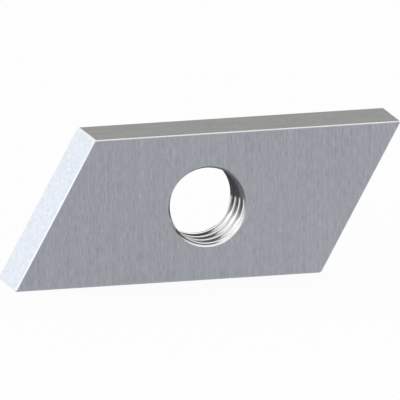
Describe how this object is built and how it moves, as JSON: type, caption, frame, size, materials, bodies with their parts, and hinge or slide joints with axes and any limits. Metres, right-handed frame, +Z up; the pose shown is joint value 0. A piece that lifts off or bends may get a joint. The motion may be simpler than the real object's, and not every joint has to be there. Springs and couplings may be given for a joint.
{
  "type": "slide nut",
  "caption": "Parallelogram steel plate nut with a threaded through hole, slid into a slotted channel and turned so that a bolt can clamp to it.",
  "frame": {"origin": "middle of the threaded bore, which is also the middle of the plate", "axes": "+X along the long edges, towards the end whose upper corner is the sharp one; +Y through the thickness along the bore, from the front face to the back face; +Z up, across the bar from one long edge to the other"},
  "size_m": [0.0266, 0.0042, 0.01],
  "materials": {
    "steel": "finely brushed across the bar, bright and unpainted"
  },
  "bodies": {
    "root": {"slide_nut": "steel"}
  },
  "joints": []
}
